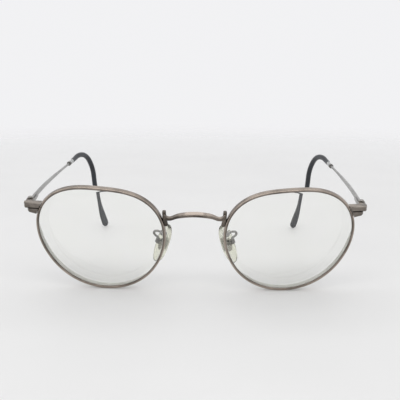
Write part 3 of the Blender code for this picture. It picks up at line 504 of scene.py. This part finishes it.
def rimRings():
    # the profile carried round the outline from one side of the split to the other, bowed with the lens
    profile = rimProfile()
    start = edgeAt(splitHeight + rimShape["gap"] / 2)[1]
    stop = edgeAt(splitHeight - rimShape["gap"] / 2)[1] + 2 * math.pi
    angle = np.linspace(start, stop, rimShape["divisions"])[:, None]
    radius = outline(angle)
    reach = radius + profile[:, 0]
    return np.stack([reach * np.cos(angle), reach * np.sin(angle), rimBow(radius) + profile[:, 1]], -1)


def rimWearAndHighlight(rings):
    # lighter along the two outer corners of the wire, partly rubbed wear and partly a painted highlight where
    # the corners catch the lamps, and lighter all over towards the bottom
    profile, inset = rimProfile(), rimShape["brightInset"]
    away = np.hypot(profile[:, 0] - rimOuter + inset, np.abs(profile[:, 1]) - rimShape["depth"] / 2 + inset)
    low = ease(0.5 - rings.mean(1)[:, 1] / eye["height"])
    return np.clip(ease(1 - away / rimShape["brightReach"])[None] + rimShape["lowBright"] * low[:, None], 0, 1)


for word, side in sides.items():
    rings = rimRings()
    size = (rimShape["girth"], rimShape["length"])
    thing = surface(f"rim_wire_{word}", lensToStand(rings), side, size=size, wear=rimWearAndHighlight(rings))
    place(thing, antique, "front", [f"rim_{word}"], "gunmetal")
print("rims")


# lenses: two spherical faces, a ground edge with a bevel
blank = {"around": 360, "rings": 26, "hub": 0.02, "crowding": 0.8, "soft": 0.12, "softStep": 0.3,
         "wallRings": 6}


def lensRings():
    # rings from the middle of the front face out to the edge, down the wall and its bevel, and back in;
    # the back face is a sphere that is thinnest at the optical centre
    angle = edgeAt(splitHeight)[1] + np.arange(blank["around"]) * 2 * math.pi / blank["around"]
    edge = outline(angle)
    wall = edge - eye["bevel"]

    def frontFace(radius):
        return eye["step"] + (meanRadius ** 2 - radius ** 2) / (2 * eye["frontRadius"])

    def backFace(radius):
        out, up = radius * np.cos(angle) + eye["opticalIn"], radius * np.sin(angle) - eye["opticalUp"]
        curve = 1 / (2 * eye["backRadius"]) - 1 / (2 * eye["frontRadius"])
        return frontFace(radius) - eye["middle"] - (out ** 2 + up ** 2) * curve

    def ring(radius, ahead):
        return np.stack([radius * np.cos(angle), radius * np.sin(angle), ahead + 0 * angle], -1)

    shares = np.linspace(blank["hub"], 1, blank["rings"]) ** blank["crowding"]
    soft = blank["soft"]
    step = soft * blank["softStep"]
    rings = [ring((wall - soft) * s, frontFace((wall - soft) * s)) for s in shares]
    rings += [ring(wall - step, frontFace(wall) - step), ring(wall, frontFace(wall) - soft)]
    rings += [ring(wall, rimBow(edge) + eye["bevelHalf"]), ring(edge, rimBow(edge)),
              ring(wall, rimBow(edge) - eye["bevelHalf"])]
    rings += [ring(wall, backFace(wall) + soft), ring(wall - step, backFace(wall) + step)]
    rings += [ring((wall - soft) * s, backFace((wall - soft) * s)) for s in shares[::-1]]
    return np.array(rings)


for word, side in sides.items():
    thing = surface(f"lens_blank_{word}", lensToStand(lensRings()), side)
    place(thing, resin, "front", [f"lens_{word}"], "lens_plastic")
    thing.data.materials.append(groundEdge)
    index = np.zeros(len(thing.data.polygons), np.int32)
    index[blank["rings"] * blank["around"]:(blank["rings"] + blank["wallRings"]) * blank["around"]] = 1
    thing.data.polygons.foreach_set("material_index", index)
print("lenses")


# bridge and its posts
post = {"width": 1.4, "depth": 1.9, "foot": 6.0, "turn": 8.6, "top": 12.3, "lean": 0.15, "gap": 0.02,
        "corner": 0.42, "round": 0.45, "narrowing": 1.9, "cornerLoss": 0.6, "leastCorner": 0.05,
        "stations": 60, "girth": 6.0}
span = {"endHeight": 9.3, "meetAbove": 0.5, "rise": 2.1, "archPower": 1.25, "sag": 0.45, "sagAt": 8.8,
        "sagWide": 1.6, "endThick": 1.25, "midThick": 1.35, "endDeep": 1.5, "midDeep": 2.4, "swell": 0.8,
        "swellGain": 1.25, "setback": 0.2, "bow": 0.5, "sink": 0.5, "fillet": 1.6, "underFillet": 0.7,
        "filletDeep": 0.3, "corner": 0.38, "stations": 221, "around": 48, "girth": 6.0, "length": 20.0}
# the bridge top: a painted highlight along the top face, and a middle patch that is partly polished wear and
# partly painted highlight
rubAndHighlight = {"patch": 4.2, "patchFade": 2.0, "patchGain": 1.25, "topFrom": 0.55, "topFade": 0.4, "topGain": 0.35,
       "most": 1.25}


def sectionsAlong(line, sections, sideAxis):
    # sections square to a line, their first axis kept as near as it can be to the side axis
    tangent = unit(np.gradient(line, axis=0))
    first = unit(sideAxis - tangent * (tangent @ np.asarray(sideAxis, float))[:, None])
    second = np.cross(tangent, first)
    sections = np.asarray(sections, float)
    return line[:, None] + sections[..., :1] * first[:, None] + sections[..., 1:] * second[:, None]


def postRings():
    # rounded boxes along a line beside the rim, which leaves it at the turn and runs up nearly straight
    offset = rimOuter + post["gap"] + post["width"] / 2
    heights = np.linspace(post["foot"], post["turn"], 8)
    places = [(height, *edgeAt(height, offset, True)) for height in heights]
    line = np.array([(out, height, rimBow(outline(angle))) for height, out, angle in places])
    rest = post["top"] - post["turn"]
    ends = [line[-1] + [post["lean"] * s, rest * s, 0] for s in (0.35, 0.7, 1.0)]
    line = smoothLine(np.vstack([line, ends]), post["stations"])
    length = np.r_[0, np.cumsum(np.linalg.norm(np.diff(line, axis=0), axis=1))]
    stations, inset = roundOff(np.linspace(0, length[-1], post["stations"]), post["round"])
    line = np.stack([np.interp(stations, length, line[:, k]) for k in range(3)], -1)
    less = inset * post["narrowing"]
    corners = np.maximum(post["corner"] - inset * post["cornerLoss"], post["leastCorner"])
    sections = [roundedBox(post["width"] - cut, post["depth"] - cut, r) for cut, r in zip(less, corners)]
    return sectionsAlong(lensToStand(line), sections, np.array([-1.0, 0, 0]))


def bridgeRings():
    # an arched bar, deeper in the middle, that sags a little and then meets each stud in a round fillet;
    # the arch is a power of one less the share squared, and each fillet a quarter circle
    offset = rimOuter + post["gap"] + post["width"]
    level = span["endHeight"] + span["meetAbove"]
    endOut = lensToFront([edgeAt(level, offset, True)[0], level, 0])
    share = np.sin(np.linspace(-math.pi / 2, math.pi / 2, span["stations"]))
    reach = endOut[0] + span["sink"]
    x = share * reach
    arch = 1 - share ** 2
    height = span["endHeight"] + span["rise"] * arch ** span["archPower"]
    height = height - span["sag"] * np.exp(-((np.abs(x) - span["sagAt"]) / span["sagWide"]) ** 2)
    middle = (1 - np.abs(share)) ** span["swell"]
    thick = span["endThick"] + (span["midThick"] - span["endThick"]) * middle
    deep = span["endDeep"] + (span["midDeep"] - span["endDeep"]) * ease(middle * span["swellGain"])
    away = reach - np.abs(x) - span["sink"]
    sweep, droop = quarterFillet(away, span["fillet"]), quarterFillet(away, span["underFillet"])
    top, bottom = height + thick / 2 + sweep, height - thick / 2 - droop
    path = np.stack([x, endOut[1] - span["setback"] - span["bow"] * arch, (top + bottom) / 2], -1)
    widths = deep + span["filletDeep"] * sweep
    corner, around = span["corner"], span["around"]
    shapes = np.array([roundedBox(w, t, corner, around) for w, t in zip(widths, top - bottom)])
    rings = path[:, None] + np.stack([0 * shapes[..., 0], shapes[..., 0], shapes[..., 1]], -1)
    # painted highlight: the top face of the bar is made lighter, and the patch in its middle lighter still,
    # partly as polished wear
    litTop = ease((shapes[..., 1] / (top - bottom)[:, None] * 2 - rubAndHighlight["topFrom"]) / rubAndHighlight["topFade"])
    patch = ease((rubAndHighlight["patch"] - np.abs(x)) / rubAndHighlight["patchFade"])[:, None] * litTop
    return frontToStand(rings), np.clip(patch * rubAndHighlight["patchGain"] + litTop * rubAndHighlight["topGain"], 0, rubAndHighlight["most"])


def quarterFillet(away, radius):
    # how far a fillet of this radius stands off, at this distance from the wall
    near = np.clip(away / radius, 0, 1)
    return radius * (1 - np.sqrt(1 - (1 - near) ** 2))


bridgeShape, bridgeWearAndHighlight = bridgeRings()
thing = surface("bridge_bar", bridgeShape, 1, size=(span["girth"], span["length"]), wear=bridgeWearAndHighlight)
place(thing, antique, "front", ["bridge"], "gunmetal")
for word, side in sides.items():
    size = (post["girth"], post["top"] - post["foot"])
    thing = surface(f"bridge_stud_{word}", postRings(), side, size=size)
    place(thing, antique, "front", [f"bridge_post_{word}"], "gunmetal")
print("bridge")


# blocks, hinges, boxes and screws: the solids with softened edges
soften = {"merge": 1e-6, "flat": 1.0, "angle": 30.0, "segments": 3}


def softened(node, finish, body, slotName, width):
    # a merged copy of the solid, its flats made whole, with a small bevel on the sharp edges
    mesh = frame["nodes"][node].data.copy()
    mesh.materials.clear()
    loose = bmesh.new()
    loose.from_mesh(mesh)
    bmesh.ops.remove_doubles(loose, verts=loose.verts, dist=soften["merge"])
    flat = math.radians(soften["flat"])
    bmesh.ops.dissolve_limit(loose, angle_limit=flat, verts=loose.verts, edges=loose.edges)
    loose.to_mesh(mesh)
    loose.free()
    mesh.shade_smooth()
    thing = bpy.data.objects.new(node + "_soft", mesh)
    bpy.context.scene.collection.objects.link(thing)
    bevel = thing.modifiers.new("bevel", "BEVEL")
    bevel.width = width * mm
    bevel.segments = soften["segments"]
    bevel.limit_method = "ANGLE"
    bevel.angle_limit = math.radians(soften["angle"])
    bevel.harden_normals = True
    bevel.use_clamp_overlap = True
    return place(thing, finish, body, [node], slotName)


softPieces = {"end_piece": (blockPlating, "gunmetal", 0.2), "rim_lock": (blockPlating, "gunmetal", 0.2),
              "hinge_front": (antique, "gunmetal", 0.1), "pad_box": (oldSteel, "temple_metal", 0.08),
              "hinge_rear": (nickel, "temple_metal", 0.08)}
for word in sides:
    for node, (finish, slotName, width) in softPieces.items():
        body = f"temple_{word}" if node == "hinge_rear" else "front"
        softened(f"{node}_{word}", finish, body, slotName, width)
    for node in ("rim_lock_screw", "hinge_screw", "pad_screw", "pad_insert"):
        turned = frame["nodes"][f"{node}_{word}"].data
        turned.materials.clear()
        turned.materials.append(steel)
print("blocks")


# temples
bar = {"start": 1.7, "raise": 0.45, "offset": -0.3, "blade": 79.0, "step": 52.0, "root": 1.8, "thick": 0.95,
       "stepHeight": 1.3, "neck": 1.05, "end": 1.0, "bendStart": 13.0, "bend": 26.0, "reach": 68.42,
       "rootRoom": 0.15, "rootRound": 0.3, "narrowing": 1.5, "cornerLoss": 0.5, "leastCorner": 0.05,
       "stations": 220, "girth": 6.0}
sleeve = {"ring": 1.6, "ringRadius": 1.05, "collar": 5.0, "collarRadius": 0.98, "gap": 0.05, "corner": 0.18,
          "stations": 14, "around": 40}


def templeBends():
    # distance along the temple, then its pitch and its inward angle there, in degrees
    bend = bar["blade"] + bar["bendStart"]
    return np.array([(0, 6, 0), (30, 1, -1.3), (bar["blade"], 2, 1.7), (bend, 13.5, 11),
                     (bend + bar["bend"] * 0.27, -8, 19), (bend + bar["bend"] * 0.62, -52.5, 14),
                     (bend + bar["bend"], -70.3, 1.3), (bar["blade"] + bar["reach"], -74.2, 15)])


def templeLine(distances):
    # the angles vary evenly between the bends; the line is the running sum of the direction they give
    bends = templeBends()
    fine = np.linspace(0, bends[-1, 0], 1200)
    pitch = np.radians(np.interp(fine, bends[:, 0], bends[:, 1]))
    inwards = np.radians(np.interp(fine, bends[:, 0], bends[:, 2]))
    ahead = np.cos(inwards)
    direction = np.stack([-np.sin(inwards), ahead * np.cos(pitch), ahead * np.sin(pitch)], -1)
    steps = (direction[1:] + direction[:-1]) / 2 * (fine[1] - fine[0])
    line = np.vstack([np.zeros(3), np.cumsum(steps, axis=0)])
    start = hingeToStand([bar["offset"], bar["start"], bar["raise"]])
    return start + np.stack([np.interp(distances, fine, line[:, k]) for k in range(3)], -1)


def placeSections(distances, sections):
    # sections square to the temple, their first axis as near outwards as it can be
    small = 0.05     # half the step that the slope is taken over
    line = templeLine(distances)
    tangent = unit(templeLine(np.asarray(distances) + small) - templeLine(np.asarray(distances) - small))
    outwards = unit(np.array([1.0, 0, 0]) - tangent * tangent[:, :1])
    upwards = np.cross(outwards, tangent)
    sections = np.asarray(sections, float)
    return line[:, None] + sections[..., :1] * outwards[:, None] + sections[..., 1:] * upwards[:, None]


def bladeRings():
    # rounded boxes: a flat blade that thins to the step, then a nearly round neck to the tip
    blade, step, root = bar["blade"], bar["step"], bar["root"]
    stop = blade + sleeve["ring"]
    stations = np.linspace(bar["rootRoom"], stop, bar["stations"])
    stations, inset = roundOff(stations, bar["rootRound"], (True, False))
    heights = np.array([(0, root), (4, root), (15, root * 0.95), (32, root * 0.85),
                        (step - 0.6, bar["stepHeight"]), (step, bar["neck"]),
                        (blade - 1.5, bar["neck"]), (blade, bar["end"])])
    height = np.interp(stations, heights[:, 0], heights[:, 1])
    thick = np.interp(stations, [0, blade - 12, blade], [bar["thick"], bar["thick"], bar["end"]])
    corner = np.interp(stations, [0, step, step + 12, blade], [0.26, 0.3, 0.4, 0.49])
    corner = np.maximum(corner - inset * bar["cornerLoss"], bar["leastCorner"])
    less = inset * bar["narrowing"]
    return placeSections(stations, [roundedBox(*shape) for shape in zip(thick - less, height - less, corner)])


def sleeveRings(start, length, radius):
    # a short tube with quarter-round ends
    stations = np.linspace(start, start + length, sleeve["stations"])
    stations, inset = roundOff(stations, sleeve["corner"])
    return placeSections(stations, [disc(radius - i, sleeve["around"]) for i in inset])


tip = {"startRadius": 1.05, "bendRadius": 1.25, "growth": 12.0, "wide": 5.2, "thick": 2.1, "length": 30.0,
       "ease": 0.85, "twist": 48.0, "nose": 3.0, "nosePower": 2.2, "noseLeft": 0.015, "mouth": 0.3,
       "mouthFull": 0.8, "bodyFrom": 0.6, "bodyTo": 2.2, "endRings": 2.0, "stations": 200, "around": 48,
       "girth": 7.0}


def tipRings():
    # round sections that flatten slowly to the paddle, turn with it, and close in a rounded end
    start = bar["blade"] + sleeve["ring"] + sleeve["collar"] + 2 * sleeve["gap"]
    end = bar["blade"] + bar["reach"]
    closer = 1 - np.sin(np.linspace(0, math.pi / 2, 24)[1:])
    stations = np.r_[np.linspace(start, start + tip["mouth"], 5),
                     np.linspace(start + tip["bodyFrom"], end - tip["bodyTo"], tip["stations"]),
                     end - tip["endRings"] * closer]
    grow = np.clip((stations - start) / tip["growth"], 0, 1)
    flat = ease((stations - (end - tip["length"])) / (tip["length"] * tip["ease"]))
    radius = tip["startRadius"] + (tip["bendRadius"] - tip["startRadius"]) * grow
    distance = np.clip((end - stations) / tip["nose"], 0, 1)
    first = np.clip((stations - start) / tip["mouth"], 0, 1)
    nose = np.sqrt(1 - (1 - distance) ** tip["nosePower"]) * (1 - tip["noseLeft"]) + tip["noseLeft"]
    mouth = tip["mouthFull"] + (1 - tip["mouthFull"]) * np.sqrt(1 - (1 - first) ** 2)
    narrow = (radius * (1 - flat) + tip["thick"] / 2 * flat) * nose * mouth
    wide = (radius * (1 - flat) + tip["wide"] / 2 * flat) * nose * mouth
    twist = (math.radians(tip["twist"]) * flat)[:, None]
    around = disc(1.0, tip["around"])
    across, along = narrow[:, None] * around[:, 0], wide[:, None] * around[:, 1]
    cos, sin = np.cos(twist), np.sin(twist)
    return placeSections(stations, np.stack([across * cos - along * sin, across * sin + along * cos], -1))


for word, side in sides.items():
    body = f"temple_{word}"
    thing = surface(f"temple_bar_{word}", bladeRings(), side, size=(bar["girth"], bar["blade"] + 1))
    place(thing, nickel, body, [f"temple_{word}"], "temple_metal")
    thing = surface(f"ferrule_{word}", sleeveRings(bar["blade"], sleeve["ring"], sleeve["ringRadius"]), side)
    place(thing, oldSteel, body, [f"tip_ring_{word}"], "screw_steel")
    start = bar["blade"] + sleeve["ring"] + sleeve["gap"]
    rings = sleeveRings(start, sleeve["collar"], sleeve["collarRadius"])
    thing = surface(f"collar_sleeve_{word}", rings, side)
    place(thing, collarGlass, body, [f"tip_collar_{word}"], "collar")
    length = bar["reach"] - sleeve["ring"] - sleeve["collar"]
    thing = surface(f"ear_tip_{word}", tipRings(), side, size=(tip["girth"], length))
    place(thing, tipPlastic, body, [f"temple_tip_{word}"], "tip_plastic")
print("temples")


# nose pads
def padRings():
    # ovals stacked from the back of the pad to its face, pulled in more the nearer they are to either side,
    # and bent a little so that the face is crowned along its length
    turns = np.linspace(-math.pi / 2, math.pi / 2, pad["rings"] + 2)[1:-1]
    angle = np.arange(pad["around"]) * 2 * math.pi / pad["around"]
    cos, sin = np.cos(angle), np.sin(angle)
    power = 2 / pad["power"]
    shape = np.stack([pad["length"] / 2 * np.sign(cos) * np.abs(cos) ** power,
                      pad["width"] / 2 * np.sign(sin) * np.abs(sin) ** power], -1)
    facing = turns > 0
    rounding = np.where(facing, pad["faceRound"], pad["backRound"])
    inset = rounding * (1 - np.abs(np.cos(turns)) ** np.where(facing, pad["facePower"], pad["backPower"]))
    shrink = 1 - ease((np.abs(turns) - pad["closeFrom"]) / pad["closeOver"]) * pad["close"]
    points = (shape - inset[:, None, None] * unit(shape)) * shrink[:, None, None]
    crown = -pad["crown"] * (points[..., 0] / (pad["length"] / 2)) ** 2
    level = np.sin(turns)[:, None] * pad["thickness"] / 2 + crown
    return padToStand(np.concatenate([points, level[..., None]], -1))


arm = {"radius": 0.45, "height": 0.6, "clear": 0.1, "sink": 0.15, "lead": (1.15, 2.3), "end": (1.8, 0, -2.7),
       "endRise": (0.5, -0.1), "stations": 180, "around": 24, "girth": 2.8, "length": 14.0,
       "loop": [(12.5, 3.0, 0.6), (13.0, 4.3, 1.4), (14.0, 5.1, 1.75), (15.2, 5.8, 1.5), (15.6, 6.2, 0.6),
                (14.95, 6.6, -0.4)]}


def armLine():
    # straight back from the rim, round the loop, then down into the box behind the pad
    out, angle = edgeAt(arm["height"], arm["clear"], True)
    ahead = rimBow(outline(angle)) - rimShape["depth"] / 2 - arm["clear"]
    root = lensToStand([out, arm["height"], ahead])
    back = lensToStand([0, 0, -1]) - lensToStand([0, 0, 0])
    leads = [root + away * back for away in (-arm["sink"], *arm["lead"])]
    ends = [padToStand(arm["end"]) + rise * padUp for rise in arm["endRise"]]
    return smoothLine(leads + arm["loop"] + ends, arm["stations"])


for word, side in sides.items():
    thing = surface(f"pad_cushion_{word}", padRings(), side)
    place(thing, silicone, f"pad_{word}", [f"nose_pad_{word}"], "pad_silicone")
    sections = [disc(arm["radius"], arm["around"])] * arm["stations"]
    thing = surface(f"pad_wire_{word}", carry(armLine(), sections), side, size=(arm["girth"], arm["length"]))
    place(thing, nickel, "front", [f"pad_arm_{word}"], "temple_metal")
print("pads")


# floor, light, camera
backdrop = {"near": 0.22, "far": 0.75, "reach": 1.0, "around": 96, "albedo": 0.80, "mottle": 0.02,
            "haze": (0.885, 0.885, 0.90), "zenith": 0.80, "low": 0.05, "high": 0.9}


def floorMaterial():
    # pale paper that fades into the backdrop well behind the object
    finish, tree, shader, spot = newMaterial("paper_floor")
    cloud = noise(spot, 0.012, 3.0)
    dull, bright = backdrop["albedo"], backdrop["albedo"] + backdrop["mottle"]
    colour = cloud.between(0.3, 0.7).blend((dull, dull, dull, 1), (bright, bright, bright, 1))
    join(tree, colour, shader, "Base Color")
    join(tree, noise(spot, 0.05, 2.0) * 0.1 + 0.5, shader, "Roughness")
    away = spot.node("ShaderNodeVectorMath", {"operation": "LENGTH"}, out=1, i0=spot)
    join(tree, 1 - (away * mm).between(backdrop["near"], backdrop["far"]), shader, "Alpha")
    return finish


ground = bpy.data.meshes.new("floor")
border = disc(backdrop["reach"], backdrop["around"])
ground.from_pydata(np.c_[border, 0 * border[:, 0]].tolist(), [], [list(range(backdrop["around"]))])
floor = bpy.data.objects.new("floor", ground)
bpy.context.scene.collection.objects.link(floor)
ground.materials.append(floorMaterial())


def studioWorld():
    # bright all round the horizon and below, a little dimmer overhead, where the lamps are
    world = bpy.data.worlds.new("studio")
    bpy.context.scene.world = world
    world.use_nodes = True
    tree = world.node_tree
    way = Flow(tree, None).node("ShaderNodeTexCoord", out=0)
    height = way.node("ShaderNodeSeparateXYZ", out=2, i0=way)
    rise = height.between(backdrop["low"], backdrop["high"])
    colour = rise.blend((*backdrop["haze"], 1), (*[backdrop["zenith"]] * 3, 1))
    tree.links.new(colour.socket, tree.nodes["Background"].inputs["Color"])
    tree.nodes["Background"].inputs["Strength"].default_value = 1.0


studioWorld()


lamps = {"front_strip": {"place": (0.0, -0.62, 0.62), "target": (0, -0.03, 0.03), "size": (0.9, 0.22),
                         "power": 1.4, "colour": (1.0, 0.985, 0.96)},
         "overhead": {"place": (0.0, 0.42, 0.62), "target": (0, 0.03, 0.04), "size": (0.8, 0.25),
                      "power": 0.45, "colour": (1, 1, 1)},
         "window": {"place": (-0.75, -0.1, 0.7), "target": (0, 0, 0.02), "size": (0.5, 0.5),
                    "power": 0.65, "colour": (0.97, 0.985, 1.0)}}


def areaLight(name, place, target, size, power, colour):
    lamp = bpy.data.lights.new(name, "AREA")
    lamp.shape = "RECTANGLE"
    lamp.size, lamp.size_y = size
    lamp.energy, lamp.color = power, colour
    thing = bpy.data.objects.new(name, lamp)
    bpy.context.scene.collection.objects.link(thing)
    thing.location = place
    thing.rotation_euler = (Vector(target) - Vector(place)).to_track_quat("-Z", "Y").to_euler()


for name, settings in lamps.items():
    areaLight(name, **settings)

lookFrom = {"place": (7.5, -296.65, 67.76), "yaw": -0.0189, "pitch": 0.1777, "roll": 0.007415, "lens": 71.9,
            "sensor": 36.0, "nearest": 0.01, "farthest": 50.0}


def addCamera():
    # yaw turns it about the vertical, pitch tips it down, and roll turns it about its own axis
    yaw, pitch, roll = lookFrom["yaw"], lookFrom["pitch"], lookFrom["roll"]
    ahead = np.array([math.sin(yaw) * math.cos(pitch), math.cos(yaw) * math.cos(pitch), -math.sin(pitch)])
    right = np.array([math.cos(yaw), -math.sin(yaw), 0])
    up = np.cross(right, ahead)
    rightRolled = math.cos(roll) * right + math.sin(roll) * up
    upRolled = -math.sin(roll) * right + math.cos(roll) * up
    data = bpy.data.cameras.new("camera")
    data.lens, data.sensor_width = lookFrom["lens"], lookFrom["sensor"]
    data.clip_start, data.clip_end = lookFrom["nearest"], lookFrom["farthest"]
    thing = bpy.data.objects.new("camera", data)
    bpy.context.scene.collection.objects.link(thing)
    where = (np.array(lookFrom["place"]) + standShift) * mm
    rows = np.stack([rightRolled, upRolled, -ahead, where], -1).tolist()
    thing.matrix_world = Matrix([*rows, [0, 0, 0, 1]])
    bpy.context.scene.camera = thing


addCamera()
bpy.context.scene.view_settings.view_transform = "Standard"
print("stage ready")
